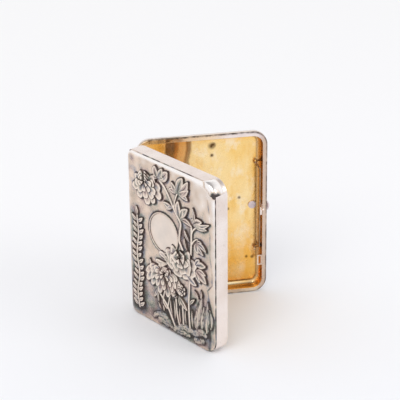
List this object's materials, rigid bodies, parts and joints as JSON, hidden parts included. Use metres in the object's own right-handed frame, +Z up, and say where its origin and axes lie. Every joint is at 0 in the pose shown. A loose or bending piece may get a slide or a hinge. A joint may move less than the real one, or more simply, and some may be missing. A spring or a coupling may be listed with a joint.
{
  "type": "cigarette case",
  "caption": "Hinged silver pocket case with gilt-lined halves, a button catch, a plain round cartouche and raised flowers, leaves and rocks on the lid.",
  "frame": {"origin": "centre of the base half's flat foot, on the surface that the case stands on", "axes": "+Z up along the hinge, +X from the hinge edge of the base half to its opening edge, +Y towards the outside of the base half's back"},
  "size_m": [0.0937, 0.088, 0.115],
  "materials": {
    "silver_wall": "polished silver, worn",
    "silver_back": "polished silver, handled",
    "silver_hinge": "polished silver, dull between the knuckles",
    "silver_catch": "silver, lightly tarnished",
    "silver_face": "matt silver with tarnish in the ground",
    "silver_relief": "chased silver, oxidised in the recesses",
    "gilt": "worn gilding"
  },
  "bodies": {
    "base": {"base_frame": "silver_wall", "base_back": "silver_back", "base_liner": "gilt", "base_knuckle_1": "silver_hinge", "base_knuckle_2": "silver_hinge", "base_knuckle_3": "silver_hinge", "hinge_pin": "silver_hinge", "button_bush": "silver_catch", "catch_lug_upper": "gilt", "catch_lug_lower": "gilt", "catch_pivots": "silver_catch", "catch_stop": "silver_catch", "rim_loop": "silver_catch"},
    "button": {"push_button": "silver_catch", "button_plate": "silver_catch"},
    "catch": {"catch_bar": "silver_catch", "catch_tooth": "silver_catch"},
    "lid": {"lid_frame": "silver_wall", "lid_panel": "silver_face", "lid_liner": "gilt", "lid_knuckle_1": "silver_hinge", "lid_knuckle_2": "silver_hinge", "cartouche_rim": "silver_relief", "bloom_upper": "silver_relief", "bloom_middle": "silver_relief", "bloom_lower": "silver_relief", "leaves_upper": "silver_relief", "leaves_side": "silver_relief", "leaves_lower": "silver_relief", "stems": "silver_relief", "reeds": "silver_relief", "rocks": "silver_relief", "side_sprig": "silver_relief"}
  },
  "joints": [
    {"name": "lid_hinge", "type": "hinge", "parent": "base", "child": "lid", "pos_m": [-0.0425, -0.0014, 0.0575], "axis": [0, 0, 1], "range_deg": [-116, 59]},
    {"name": "button_slide", "type": "slide", "parent": "base", "child": "button", "axis": [-1, 0, 0], "range_m": [0, 0.0007], "stiffness_N_per_m": 1500, "springref_m": -0.0006},
    {"name": "catch_turn", "type": "hinge", "parent": "base", "child": "catch", "pos_m": [0.0359, 0.0048, 0.0609], "axis": [0, 0, -1], "range_deg": [0, 9.2]}
  ],
  "couplings": [
    {"joint": "catch_turn", "follows": "button_slide", "rad_per_m": 222.22}
  ]
}
